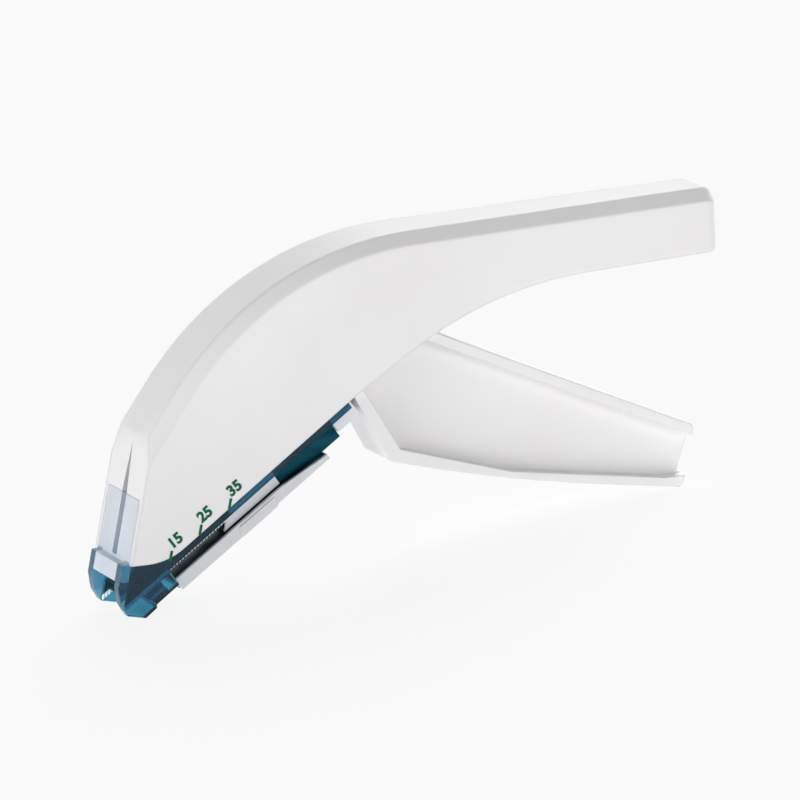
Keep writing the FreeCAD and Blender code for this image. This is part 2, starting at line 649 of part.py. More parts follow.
def staple(body, along):
    """One open staple: the wire's plane less the space between its legs."""
    slab(body, staple_points(along), "crown_half")
    inner = staple_points(along)
    drop_x, drop_z = " - wire * sin_n", " - wire * cos_n"
    under = [(inner[0][0] + drop_x, inner[0][1] + drop_z), (inner[1][0] + drop_x, inner[1][1] + drop_z),
             inner[2], inner[3]]
    trench(body, under, "crown_half - wire")


def staples():
    """The first staple under the driver and the row queued behind it."""
    first = new_body("first_staple")
    staple(first, "0")
    doc.recompute()
    row = doc.addObject("Part::Feature", "staple_row")
    row.Label = "staple_row"
    way = FreeCAD.Vector(value("cos_m"), 0, value("sin_m"))
    shape = first.Tip.Shape
    copies = []
    for i in range(1, int(value("staple_count"))):
        copy = shape.copy()
        copy.translate(way * (i * value("pitch")))
        copies.append(copy)
    row.Shape = Part.makeCompound(copies)
    seat(row)
    parts.append(row)


def nose_frame():
    """The clear moulding: the front panel, two side plates and the two feet."""
    body = new_body("nose_frame")
    front = "-(drive_inset)"
    slab(body, [nose(front, "window_top - fit_gap"), nose("brow_depth", "window_top - fit_gap"),
                magazine("brow_depth + 8", "-(frame_top)"), magazine("frame_back", "-(frame_top)"),
                magazine("frame_back", "frame_low"), magazine("foot_back", "frame_low"),
                magazine("foot_back", "sole_deep"), magazine("toe_back", "sole_deep"),
                nose("toe_front + 2.2", "-(toe_low) + 2.5"), nose("toe_front", "-(toe_low)"),
                nose("0", "-(toe_low)"), nose("-2.1", "-3"), nose("-(foot_reach)", "0.4"),
                nose("-(foot_reach)", "foot_top - 0.5"), nose(front, "foot_top")], "half_nose + 2")
    taper(body, "wall + fit_gap")
    trench(body, [nose("glass_thick - drive_inset", "window_top + 2"),
                  magazine("frame_back + 9", "-(frame_top + 20)"),
                  magazine("frame_back + 9", "sole_deep + 9"), magazine("bed_back", "sole_deep + 9"),
                  magazine("bed_back", "bed_low"), magazine("sill_front", "bed_low"),
                  magazine("sill_front", "sole_deep + 9"), nose("-9", "-9"), nose("-9", "glass_low"),
                  nose("glass_thick - drive_inset", "glass_low")], "bay_half")
    trench(body, [nose("-9", "glass_slot_low"), nose("0", "glass_slot_low"),
                  nose("0", "window_top + 2"), nose("-9", "window_top + 2")], "glass_slot_half")
    slab(body, [magazine("bed_front", "rail_top + anvil_thick"),
                magazine("bed_back", "rail_top + anvil_thick"),
                magazine("bed_back", "sole_deep"), magazine("bed_front", "sole_deep")], "bed_half")
    return body


def follower():
    """The clear pusher that rides the rail like a saddle, with a tab inside the channel."""
    body = new_body("follower")
    begin = "stack_end"
    end = "stack_end + follower_long"
    slope = "tan(nose_lean + magazine_slope)"
    slab(body, [magazine(begin + " + follower_rise * " + slope, "-(follower_rise)"),
                magazine(end, "-(follower_rise)"), magazine(end, "follower_low"),
                magazine(begin + " - follower_low * " + slope, "follower_low")], "crown_half")
    trench(body, [magazine("0", "rail_top - fit_gap"), magazine(end + " + 1", "rail_top - fit_gap"),
                  magazine(end + " + 1", "rail_low + fit_gap"),
                  magazine(end + " - tab_long", "rail_low + fit_gap"),
                  magazine(end + " - tab_long", "follower_low + 1"),
                  magazine("0", "follower_low + 1")], "saddle_half")
    slab(body, [magazine(end + " - tab_long", "rail_top + rail_gauge + fit_gap"),
                magazine(end, "rail_top + rail_gauge + fit_gap"), magazine(end, "follower_low"),
                magazine(end + " - tab_long", "follower_low")], "tab_half")
    return body


def cover():
    """The clear tray that closes the magazine from below, with finger pads and a front catch."""
    body = new_body("magazine_cover")
    slab(body, [magazine("foot_back", "cover_top"), magazine("cover_step + 3", "cover_top"),
                magazine("cover_back - cover_wall", "tray_floor + fit_gap"),
                magazine("cover_back", "tray_floor + fit_gap"), magazine("cover_back", "step_low"),
                magazine("cover_step", "step_low"), magazine("cover_step - 0.8", "cover_low"),
                magazine("foot_back", "cover_low")], "cover_half")
    slab(body, [magazine("pad_front + 1", "cover_top + pad_down"),
                magazine("cover_step", "cover_top + pad_down"), magazine("cover_step", "step_low"),
                magazine("cover_step - 0.8", "cover_low"), magazine("pad_front", "cover_low")],
         "cover_half + pad_raise")
    trench(body, [magazine("foot_back - 1", "cover_top - 1"),
                  magazine("cover_back - cover_wall", "cover_top - 1"),
                  magazine("cover_back - cover_wall", "tray_floor"),
                  magazine("foot_back - 1", "tray_floor")], "cover_half - cover_wall")
    slab(body, [magazine("foot_back", "tray_floor"), magazine("foot_back + latch_long", "tray_floor"),
                magazine("foot_back + latch_long - 0.6", "cover_low + latch_deep"),
                magazine("foot_back", "cover_low + latch_deep")], "latch_half")
    return body


def plug():
    """The clear block that closes the magazine behind the rail and holds the rod."""
    body = new_body("end_plug")
    slab(body, [magazine("rail_back + fit_gap", "plug_top"), magazine("plug_back", "plug_top"),
                magazine("plug_back", "follower_low"), magazine("rail_back + fit_gap", "follower_low")],
         "plug_half")
    return body


def along_magazine(piece, along, down):
    """Lay a piece whose own axis is Z along the queue."""
    x, z = magazine(along, down)
    piece.setExpression("Placement.Base.x", formula("datum_x + " + x))
    piece.setExpression("Placement.Base.z", formula("datum_z + " + z))
    piece.Placement.Rotation = FreeCAD.Rotation(FreeCAD.Vector(0, 1, 0), 90)
    piece.setExpression("Placement.Rotation.Angle", formula("90 - magazine_slope"))


def cylinder(label, radius, height):
    piece = doc.addObject("Part::Cylinder", label)
    piece.setExpression("Radius", formula(radius))
    piece.setExpression("Height", formula(height))
    return piece


def drilled(base, label, hole):
    """Replace a sub-part by itself less a round hole."""
    result = doc.addObject("Part::Cut", label)
    base.Label = label + "_blank"
    result.Base = base
    result.Tool = hole
    result.Label = label
    parts[parts.index(base)] = result
    return result


def rod_and_spring(follower_body, plug_body):
    """The guide rod, the holes it runs through and the spring wound round it."""
    rod = cylinder("spring_rod", "rod_round", "rail_back + rod_seat - rod_front")
    along_magazine(rod, "rod_front", "rod_drop")
    rod.Label = "spring_rod"
    parts.append(rod)
    seat_hole = cylinder("seat_hole", "rod_round", "2 * rod_seat")
    along_magazine(seat_hole, "rail_back - rod_seat", "rod_drop")
    drilled(plug_body, "end_plug", seat_hole)
    run_hole = cylinder("run_hole", "rod_round + rod_gap", "rail_back")
    along_magazine(run_hole, "0", "rod_drop")
    drilled(follower_body, "follower", run_hole)

    begin = value("stack_end") + value("follower_long") + value("spring_wire")
    reach = value("rail_back") - value("spring_wire") - begin
    turns = reach / value("spring_pitch")
    coil = coil_points(value("spring_round"), value("spring_pitch"), turns, 12)
    spring = wire_spring("follower_spring", coil, value("spring_wire"))
    slope = math.radians(value("magazine_slope"))
    x, z = magazine(str(begin), "rod_drop")
    spring.Placement = FreeCAD.Placement(
        FreeCAD.Vector(value("datum_x") + measure(x), 0, value("datum_z") + measure(z)),
        FreeCAD.Rotation(FreeCAD.Vector(0, 1, 0), 90 - math.degrees(slope)))


def coil_points(radius, pitch, turns, runs):
    """The corners of a coil wound up the Z axis from the X axis, so many straight runs a turn."""
    count = int(round(turns * runs))
    corners = []
    for i in range(count + 1):
        turn = 2 * math.pi * turns * i / count
        corners.append(FreeCAD.Vector(radius * math.cos(turn), radius * math.sin(turn),
                                      pitch * turns * i / count))
    return corners


def wire_spring(label, corners, half):
    """Six-sided wire swept along straight runs with mitred corners."""
    way = (corners[1] - corners[0]).normalize()
    circle = Part.makeCircle(half, corners[0], way)
    ring_points = circle.discretize(7)
    section = Part.makePolygon(ring_points[:-1] + [ring_points[0]])
    spring = doc.addObject("Part::Feature", label)
    spring.Label = label
    spring.Shape = Part.makePolygon(corners).makePipeShell([section], True, False, 1)
    parts.append(spring)
    return spring


def return_spring():
    """The torsion spring round the bush: one leg lies on the lever's neck, one on a post."""
    mean, half = value("coil_round"), value("coil_wire") / 2
    turns = value("coil_turns")
    corners = coil_points(mean, 2.16 * half, turns, 20)
    elbow = FreeCAD.Vector(mean, -value("coil_rest"), 0)
    leg_start = elbow - FreeCAD.Vector(0, 0, value("coil_cross"))
    sweep = 2 * math.pi * turns
    leg = FreeCAD.Vector(-math.sin(sweep), math.cos(sweep), 0) * value("coil_hold")
    corners = [leg_start, elbow] + corners + [corners[-1] + leg]
    spring = wire_spring("return_spring", corners, half)
    lie = FreeCAD.Rotation(FreeCAD.Vector(0, 1, 0), value("coil_lean"))
    spring.Placement = FreeCAD.Placement(
        FreeCAD.Vector(value("datum_x") + value("pivot_x"), value("coil_start") + half,
                       value("datum_z") + value("pivot_z")),
        lie * FreeCAD.Rotation(FreeCAD.Vector(1, 0, 0), -90))


def rivets():
    """Two rivets that hold the blade to its carrier, and the holes for them."""
    pair = []
    holes = []
    for side in (-1, 1):
        for label, found in (("rivet", pair), ("rivet_hole", holes)):
            piece = cylinder(label, "rivet_round", "carrier_base + drive_thick / 2")
            x, z = nose("-(drive_thick / 2)", "tip_up")
            piece.setExpression("Placement.Base.x", formula("datum_x + " + x))
            piece.setExpression("Placement.Base.z", formula("datum_z + " + z))
            piece.setExpression("Placement.Base.y", formula("%d * rivet_reach" % side))
            piece.Placement.Rotation = FreeCAD.Rotation(FreeCAD.Vector(0, 1, 0), 90)
            piece.setExpression("Placement.Rotation.Angle", formula("90 + nose_lean"))
            found.append(piece)
    group = doc.addObject("Part::Compound", "driver_rivets")
    group.Links = pair
    group.Label = "driver_rivets"
    parts.append(group)
    tool = doc.addObject("Part::Compound", "rivet_holes")
    tool.Links = holes
    return tool


half_shell("left_housing", -1)
half_shell("right_housing", 1)
lever()
round_bar("pivot_pin", "pivot_x", "pivot_z", "pin_round", "pin_half")
bush()
round_bar("lever_tip_pin", "tip_x", "tip_z", "tip_pin_round", "tip_pin_half")
return_spring()
plate_body = driver_plate()
carrier_body = driver_carrier()
rivet_tool = rivets()
drilled(plate_body, "driver_plate", rivet_tool)
drilled(carrier_body, "driver_carrier", rivet_tool)
anvil()
rail()
staples()
nose_frame()
follower_body = follower()
cover()
plug_body = plug()
rod_and_spring(follower_body, plug_body)
doc.recompute()

for item in doc.Objects:
    if "Invalid" in item.State or "Error" in item.State:
        raise RuntimeError("%s did not build: %s" % (item.Label, item.State))
os.makedirs("parts", exist_ok=True)
low = FreeCAD.BoundBox()
for piece in parts:
    shape = piece.Shape
    if shape.isNull() or not shape.isValid() or not shape.Solids:
        raise RuntimeError("%s has no valid solid" % piece.Label)
    low.add(shape.BoundBox)
    print("%-16s %3d solid %9.2f mm3" % (piece.Label, len(shape.Solids), shape.Volume))
for piece in parts:
    piece.Shape.exportStep("parts/%s.step" % piece.Label)
print("box", [round(v, 2) for v in (low.XMin, low.XMax, low.YMin, low.YMax, low.ZMin, low.ZMax)])
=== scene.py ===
# Skin stapler standing on its nose feet and its lever's heel, as a plain studio shot.
# The frame carries the shapes. This script finishes the plastics and steels, bends the
# wire staples, winds the springs, prints the counting marks and sets up the studio.
import math

import bmesh
import bpy
from mathutils import Matrix, Vector


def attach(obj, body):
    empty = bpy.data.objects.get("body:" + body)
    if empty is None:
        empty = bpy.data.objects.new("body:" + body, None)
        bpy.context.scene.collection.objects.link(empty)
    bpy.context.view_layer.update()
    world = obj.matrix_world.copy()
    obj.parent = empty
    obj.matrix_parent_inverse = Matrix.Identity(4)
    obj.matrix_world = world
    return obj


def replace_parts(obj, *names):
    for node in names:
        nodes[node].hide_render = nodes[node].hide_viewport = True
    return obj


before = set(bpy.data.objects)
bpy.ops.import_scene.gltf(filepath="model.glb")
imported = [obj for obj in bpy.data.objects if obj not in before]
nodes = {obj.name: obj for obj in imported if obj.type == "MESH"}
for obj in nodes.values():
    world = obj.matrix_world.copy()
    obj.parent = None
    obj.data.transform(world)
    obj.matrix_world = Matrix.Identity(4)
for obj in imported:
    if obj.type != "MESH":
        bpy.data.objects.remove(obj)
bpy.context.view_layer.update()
mm = 0.001

# the drawing's datum and its two inside lines, as the part is laid out on them
layout = {
    "datum": Vector((-12.82, 0, 45.26)) * mm,
    "node": Vector((-59.74, 0, -38.62)) * mm,  # where the two lines cross, from the datum
    "noseLean": math.radians(18.4),
    "magazineSlope": math.radians(28.8),
    "frontX": -59.6 * mm,
    "tailX": 88.6 * mm,
    "halfNose": 10.8 * mm,
    "halfTail": 8.3 * mm,
    "pivot": Vector((-17.0, 0, -3.0)) * mm,
}
noseUp = Vector((math.sin(layout["noseLean"]), 0, math.cos(layout["noseLean"])))
noseBack = Vector((math.cos(layout["noseLean"]), 0, -math.sin(layout["noseLean"])))
queueWay = Vector((math.cos(layout["magazineSlope"]), 0, math.sin(layout["magazineSlope"])))
queueUp = Vector((-math.sin(layout["magazineSlope"]), 0, math.cos(layout["magazineSlope"])))
crownPoint = layout["datum"] + layout["node"]


# shader helpers

surface = {
    "noiseRange": (0.3, 0.7),  # where most of a noise lies
    "toneStops": (0.35, 0.65),
    "edgeSamples": 8,
    "edgeStart": (1.5 * mm, 2.2 * mm),  # off the seam, where edges begin to be shaded round
    "seamEdge": 0.05 * mm,
}


def newMaterial(name):
    material = bpy.data.materials.new(name)
    material.use_nodes = True
    tree = material.node_tree
    return material, tree, tree.nodes["Principled BSDF"]


def objectNoise(tree, scale, detail=3.0, stretch=(1, 1, 1)):
    place = tree.nodes.new("ShaderNodeTexCoord")
    size = tree.nodes.new("ShaderNodeMapping")
    size.inputs["Scale"].default_value = stretch
    noise = tree.nodes.new("ShaderNodeTexNoise")
    noise.inputs["Scale"].default_value = scale
    noise.inputs["Detail"].default_value = detail
    tree.links.new(place.outputs["Object"], size.inputs["Vector"])
    tree.links.new(size.outputs["Vector"], noise.inputs["Vector"])
    return noise.outputs["Fac"]


def mapped(tree, value, taken, given):
    # one range of a value carried over to another, level beyond its ends
    ramp = tree.nodes.new("ShaderNodeMapRange")
    for socket, level in zip(("From Min", "From Max", "To Min", "To Max"), (*taken, *given)):
        ramp.inputs[socket].default_value = level
    tree.links.new(value, ramp.inputs["Value"])
    return ramp.outputs["Result"]


def between(tree, share, low, high):
    return mapped(tree, share, (0, 1), (low, high))


def spread(tree, noise, levels):
    return mapped(tree, noise, surface["noiseRange"], levels)


def twoTone(tree, noise, tones):
    ramp = tree.nodes.new("ShaderNodeValToRGB")
    for stop, position, tone in zip(ramp.color_ramp.elements, surface["toneStops"], tones):
        stop.position = position
        stop.color = (*tone, 1)
    tree.links.new(noise, ramp.inputs["Fac"])
    return ramp.outputs["Color"]


def joined(tree, operation, first, second):
    both = tree.nodes.new("ShaderNodeMath")
    both.operation = operation
    tree.links.new(first, both.inputs[0])
    tree.links.new(second, both.inputs[1])
    return both.outputs[0]


def blend(tree, share, first, second):
    mix = tree.nodes.new("ShaderNodeMix")
    mix.data_type = "RGBA"
    tree.links.new(share, mix.inputs["Factor"])
    tree.links.new(first, mix.inputs["A"])
    tree.links.new(second, mix.inputs["B"])
    return mix.outputs["Result"]


def stretchAlong(tree, direction, start, end):
    # 0 to 1 from one distance along a direction to another, both taken from the crown
    place = tree.nodes.new("ShaderNodeTexCoord")
    reach = tree.nodes.new("ShaderNodeVectorMath")
    reach.operation = "DOT_PRODUCT"
    reach.inputs[1].default_value = direction
    tree.links.new(place.outputs["Object"], reach.inputs[0])
    level = crownPoint.dot(direction)
    return mapped(tree, reach.outputs["Value"], (level + start, level + end), (0, 1))


def awayFromSeam(tree, start, end):
    # 0 to 1 from one distance off the seam plane to another, the same on both sides
    place = tree.nodes.new("ShaderNodeTexCoord")
    apart = tree.nodes.new("ShaderNodeSeparateXYZ")
    tree.links.new(place.outputs["Object"], apart.inputs[0])
    size = tree.nodes.new("ShaderNodeMath")
    size.operation = "ABSOLUTE"
    tree.links.new(apart.outputs["Y"], size.inputs[0])
    return mapped(tree, size.outputs[0], (start, end), (0, 1))


def relief(tree, shader, height, strength, distance, edge=0.0):
    # fine relief, over edges that are shaded as if rounded by this much
    bump = tree.nodes.new("ShaderNodeBump")
    bump.inputs["Strength"].default_value = strength
    bump.inputs["Distance"].default_value = distance
    tree.links.new(height, bump.inputs["Height"])
    tree.links.new(bump.outputs["Normal"], shader.inputs["Normal"])
    if edge:
        rounded = tree.nodes.new("ShaderNodeBevel")
        rounded.samples = surface["edgeSamples"]
        fromSeam = awayFromSeam(tree, *surface["edgeStart"])
        radius = between(tree, fromSeam, surface["seamEdge"], edge)
        tree.links.new(radius, rounded.inputs["Radius"])
        tree.links.new(rounded.outputs["Normal"], bump.inputs["Normal"])


def unevenGloss(tree, shader, look):
    gloss = spread(tree, objectNoise(tree, look["glossScale"]), look["roughness"])
    tree.links.new(gloss, shader.inputs["Roughness"])


def letLightIn(tree, shader, share):
    # part of the light that falls on clear plastic reaches what lies behind it
    path = tree.nodes.new("ShaderNodeLightPath")
    stop = between(tree, path.outputs["Is Shadow Ray"], 1.0, 1.0 - share)
    tree.links.new(stop, shader.inputs["Alpha"])


def seenDirectly(tree):
    # 1 for the rays of the camera, of glossy surfaces and of clear ones
    path = tree.nodes.new("ShaderNodeLightPath")
    total = path.outputs["Is Camera Ray"]
    for name in ("Is Glossy Ray", "Is Transmission Ray"):
        total = joined(tree, "MAXIMUM", total, path.outputs[name])
    return total


# plastics

whitePlastic = {
    "tones": ((0.80, 0.785, 0.795), (0.84, 0.83, 0.835)),
    "toneScale": 22,
    "roughness": (0.34, 0.44),
    "glossScale": 140,
    "specular": 0.42,
    "grainScale": 3200,
    "grainDetail": 2,
    "grainStrength": 0.10,
    "grainDepth": 0.06 * mm,
    "shellEdge": 1.3 * mm,
    "leverEdge": 0.5 * mm,
}


def mouldedWhite(name, edge):
    # satin ABS: a faint warm-cool drift, fine spark-erosion grain and uneven gloss
    look = whitePlastic
    material, tree, shader = newMaterial(name)
    tone = twoTone(tree, objectNoise(tree, look["toneScale"]), look["tones"])
    tree.links.new(tone, shader.inputs["Base Color"])
    unevenGloss(tree, shader, look)
    grain = objectNoise(tree, look["grainScale"], look["grainDetail"])
    relief(tree, shader, grain, look["grainStrength"], look["grainDepth"], edge)
    shader.inputs["Specular IOR Level"].default_value = look["specular"]
    return material


noseTint = {
    "pale": ((0.80, 0.86, 0.96), (0.88, 0.92, 0.99)),
    "paleScale": 90,
    "deep": ((0.02, 0.18, 0.30), (0.06, 0.29, 0.43)),
    "deepScale": 240,
    "panelBack": (-0.75 * mm, -0.35 * mm),  # going back, the front panel ends here
    "footTop": (6.6 * mm, 5.4 * mm),  # going down, the feet begin here
    "footInside": (6.2 * mm, 6.7 * mm),  # and going out from the seam, here
    "roughness": (0.02, 0.07),
    "glossScale": 300,
    "through": (0.30, 0.95),  # of the pale places, and of the deep ones
    "lightShare": 0.7,
    "refraction": 1.36,
    "grainScale": 90,
    "grainDetail": 1,
    "grainStrength": 0.05,
    "grainDepth": 0.2 * mm,
}


def tintedNose():
    # pale in the front panel and between the feet, deep blue in the flanges and the feet
    look = noseTint
    material, tree, shader = newMaterial("tintedNose")
    pale = twoTone(tree, objectNoise(tree, look["paleScale"]), look["pale"])
    deep = twoTone(tree, objectNoise(tree, look["deepScale"]), look["deep"])
    behind = stretchAlong(tree, noseBack, *look["panelBack"])
    low = stretchAlong(tree, noseUp, *look["footTop"])
    foot = joined(tree, "MULTIPLY", low, awayFromSeam(tree, *look["footInside"]))
    blue = joined(tree, "MAXIMUM", behind, foot)
    tree.links.new(blend(tree, blue, pale, deep), shader.inputs["Base Color"])
    unevenGloss(tree, shader, look)
    grain = objectNoise(tree, look["grainScale"], look["grainDetail"])
    relief(tree, shader, grain, look["grainStrength"], look["grainDepth"])
    tree.links.new(between(tree, blue, *look["through"]), shader.inputs["Transmission Weight"])
    shader.inputs["IOR"].default_value = look["refraction"]
    letLightIn(tree, shader, look["lightShare"])
    return material


naturalPlastic = {
    "tones": ((0.86, 0.88, 0.93), (0.93, 0.95, 0.98)),
    "trayTones": ((0.84, 0.86, 0.90), (0.92, 0.93, 0.96)),
    "toneScale": 120,
    # painted shade of the magazine's shaded inside, laid on the inner faces of the tray walls
    "paintedShadeInside": ((0.004, 0.05, 0.075), (0.012, 0.085, 0.12)),
    "insideShadeScale": 200,
    "trayWall": (6.95 * mm, 7.25 * mm),  # off the seam, from its inner face outwards
    "through": 0.15,
    "trayThrough": 0.28,
    "refraction": 1.5,
    "roughness": (0.12, 0.24),
    "glossScale": 260,
    "grainScale": 700,
    "grainDetail": 2,
    "grainStrength": 0.08,
    "grainDepth": 0.08 * mm,
}


def naturalSkin(tree, shader):
    look = naturalPlastic
    unevenGloss(tree, shader, look)
    grain = objectNoise(tree, look["grainScale"], look["grainDetail"])
    relief(tree, shader, grain, look["grainStrength"], look["grainDepth"])
    shader.inputs["IOR"].default_value = look["refraction"]


def milkyPlastic():
    look = naturalPlastic
    material, tree, shader = newMaterial("naturalPlastic")
    tone = twoTone(tree, objectNoise(tree, look["toneScale"]), look["tones"])
    tree.links.new(tone, shader.inputs["Base Color"])
    naturalSkin(tree, shader)
    shader.inputs["Transmission Weight"].default_value = look["through"]
    letLightIn(tree, shader, look["through"])
    return material


def clearTray():
    # milky walls, with painted shade on their inner faces standing in for the magazine's shaded
    # inside
    look = naturalPlastic
    material, tree, shader = newMaterial("clearTray")
    wall = twoTone(tree, objectNoise(tree, look["toneScale"]), look["trayTones"])
    shadeInside = twoTone(tree, objectNoise(tree, look["insideShadeScale"]), look["paintedShadeInside"])
    outer = awayFromSeam(tree, *look["trayWall"])
    tree.links.new(blend(tree, outer, shadeInside, wall), shader.inputs["Base Color"])
    naturalSkin(tree, shader)
    through = between(tree, outer, 0.0, look["trayThrough"])
    tree.links.new(through, shader.inputs["Transmission Weight"])
    return material


# steels and ink

steels = {
    "bladeSteel": {
        "tones": ((0.10, 0.17, 0.22), (0.20, 0.29, 0.35)),
        "roughness": 0.30,
        "brushing": (1, 0.1, 1),
    },
    "bluedSteel": {
        "tones": ((0.002, 0.035, 0.055), (0.008, 0.06, 0.085)),
        "roughness": 0.35,
        "brushing": (0.1, 1, 1),
    },
    "springWire": {
        "tones": ((0.30, 0.33, 0.36), (0.46, 0.49, 0.52)),
        "roughness": 0.28,
        "brushing": (1, 1, 1),
    },
}
brushing = {
    "toneScale": 500,
    "toneDetail": 4,
    "lineScale": 900,
    "lineDetail": 2,
    "lineStrength": 0.08,
    "lineDepth": 0.03 * mm,
    "smoothest": 0.8,  # shares of a steel's roughness
    "roughest": 1.3,
}


def brushedSteel(name):
    look = steels[name]
    material, tree, shader = newMaterial(name)
    drift = objectNoise(tree, brushing["toneScale"], brushing["toneDetail"], look["brushing"])
    tree.links.new(twoTone(tree, drift, look["tones"]), shader.inputs["Base Color"])
    lines = objectNoise(tree, brushing["lineScale"], brushing["lineDetail"], look["brushing"])
    limits = [look["roughness"] * brushing[share] for share in ("smoothest", "roughest")]
    tree.links.new(spread(tree, lines, limits), shader.inputs["Roughness"])
    relief(tree, shader, lines, brushing["lineStrength"], brushing["lineDepth"])
    shader.inputs["Metallic"].default_value = 1.0
    return material


drawnWire = {
    # painted shade on the wire up in the magazine, and a painted glint on the legs' lower ends
    "paintedShadeTone": ((0.004, 0.035, 0.05), (0.012, 0.06, 0.08)),
    "paintedShadeScale": 900,
    "glintMetal": ((0.86, 0.89, 0.90), (0.95, 0.96, 0.96)),
    "glintMetalScale": 1200,
    "glintFrom": (-2.3 * mm, -2.5 * mm),  # the painted glint begins here, going down from the line of the crowns
    "metallic": (0.75, 0.35),  # of the painted shade, and of the bright wire with its painted glint
    "roughness": (0.30, 0.45),
    "glossScale": 800,
}


def stapleWire():
    # drawn wire painted dark with shade where it lies in the magazine, and bright metal towards
    # the ground points: the wire's own colour, kept only there as a painted glint
    look = drawnWire
    material, tree, shader = newMaterial("stapleWire")
    paintedShadeTone = twoTone(tree, objectNoise(tree, look["paintedShadeScale"]), look["paintedShadeTone"])
    glintMetal = twoTone(tree, objectNoise(tree, look["glintMetalScale"]), look["glintMetal"])
    glintShare = stretchAlong(tree, queueUp, *look["glintFrom"])
    tree.links.new(blend(tree, glintShare, paintedShadeTone, glintMetal), shader.inputs["Base Color"])
    unevenGloss(tree, shader, look)
    tree.links.new(between(tree, glintShare, *look["metallic"]), shader.inputs["Metallic"])
    return material


greenInk = {
    "tones": ((0.0, 0.105, 0.042), (0.002, 0.135, 0.056)),
    "toneScale": 900,
    "roughness": (0.35, 0.6),
    "glossScale": 1500,
    "specular": 0.15,
}


def printingInk():
    look = greenInk
    material, tree, shader = newMaterial("greenInk")
    tone = twoTone(tree, objectNoise(tree, look["toneScale"]), look["tones"])
    tree.links.new(tone, shader.inputs["Base Color"])
    unevenGloss(tree, shader, look)
    shader.inputs["Specular IOR Level"].default_value = look["specular"]
    return material


finishes = {
    "shell": mouldedWhite("shellWhite", whitePlastic["shellEdge"]),
    "white": mouldedWhite("leverWhite", whitePlastic["leverEdge"]),
    "nose": tintedNose(),
    "tray": clearTray(),
    "milky": milkyPlastic(),
    "steel": brushedSteel("bladeSteel"),
    "blued": brushedSteel("bluedSteel"),
    "wire": stapleWire(),
    "springs": brushedSteel("springWire"),
    "ink": printingInk(),
}
print("finishes made:", len(finishes))


# the frame's own pieces: their finish and the rounding of their edges

dressing = {
    "left_housing": ("shell", 0.3 * mm),
    "right_housing": ("shell", 0.3 * mm),
    "trigger_lever": ("white", 0.35 * mm),
    "driver_carrier": ("white", 0.15 * mm),
    "pivot_bush": ("white", 0.10 * mm),
    "nose_frame": ("nose", 0.15 * mm),
    "magazine_cover": ("tray", 0.15 * mm),
    "follower": ("milky", 0.12 * mm),
    "end_plug": ("milky", 0.15 * mm),
    "pivot_pin": ("steel", 0.10 * mm),
    "lever_tip_pin": ("steel", 0.10 * mm),
    "driver_plate": ("steel", 0.05 * mm),
    "driver_rivets": ("steel", 0.10 * mm),
    "anvil_plate": ("blued", 0.05 * mm),
    "staple_rail": ("blued", 0.05 * mm),
    "spring_rod": ("steel", 0.05 * mm),
}
softEdges = {
    "weldWithin": 0.002 * mm,
    "segments": 3,
    "sharperThan": math.radians(32),
    "faceWeight": 80,
}


def dress(name, finish, rounding):
    piece = nodes[name]
    piece.data.materials.clear()
    piece.data.materials.append(finishes[finish])
    weld = piece.modifiers.new("weld", "WELD")
    weld.merge_threshold = softEdges["weldWithin"]
    soft = piece.modifiers.new("soft edges", "BEVEL")
    soft.width = rounding
    soft.segments = softEdges["segments"]
    soft.limit_method = "ANGLE"
    soft.angle_limit = softEdges["sharperThan"]
    even = piece.modifiers.new("even shading", "WEIGHTED_NORMAL")
    even.weight = softEdges["faceWeight"]


for name, (finish, rounding) in dressing.items():
    dress(name, finish, rounding)
print("frame pieces dressed:", len(dressing))


# round wire

wireSides = 12


def placed(name, data):
    holder = bpy.data.objects.new(name, data)
    bpy.context.scene.collection.objects.link(holder)
    return holder


def addPiece(name, mesh, finish):
    # a new piece of the housing
    piece = placed(name, mesh)
    mesh.materials.clear()
    mesh.materials.append(finishes[finish])
    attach(piece, "housing")
    return piece


def meshFrom(name, shape):
    made = bpy.data.meshes.new(name)
    shape.to_mesh(made)
    shape.free()
    return made


def addTube(shape, points, radii):
    rings = []
    side = None
    for i, point in enumerate(points):
        ahead = points[min(i + 1, len(points) - 1)] - points[max(i - 1, 0)]
        ahead.normalize()
        if side is None:
            side = ahead.orthogonal().normalized()
        side = (side - ahead * side.dot(ahead)).normalized()
        other = ahead.cross(side)
        ring = []
        for k in range(wireSides):
            turn = 2 * math.pi * k / wireSides
            out = side * math.cos(turn) + other * math.sin(turn)
            ring.append(shape.verts.new(point + out * radii[i]))
        rings.append(ring)
    for near, far in zip(rings, rings[1:]):
        for k in range(wireSides):
            after = (k + 1) % wireSides
            shape.faces.new((near[k], near[after], far[after], far[k]))
    shape.faces.new(rings[0][::-1])
    shape.faces.new(rings[-1])


def wireMesh(name, wires):
    # each wire is a line of points and a radius for every point
    shape = bmesh.new()
    for points, radii in wires:
        addTube(shape, points, radii)
    bmesh.ops.recalc_face_normals(shape, faces=shape.faces)
    for face in shape.faces:
        face.smooth = len(face.verts) == 4
    return meshFrom(name, shape)


# wire staples

staple = {
    "wire": 0.565 * mm,
    "gap": 0.02 * mm,
    "half": 6.3 * mm,
    "leg": 5.0 * mm,
    "point": 0.45 * mm,
    "pointEnd": 0.25,  # share of the wire that the grinding leaves at the tip
    "pointMiddle": 0.75,
    "bend": 0.75 * mm,
    "bendSteps": 5,
    "count": 35,
}
queueTilt = layout["noseLean"] + layout["magazineSlope"]
stapleStep = (staple["wire"] + staple["gap"]) / math.cos(queueTilt)


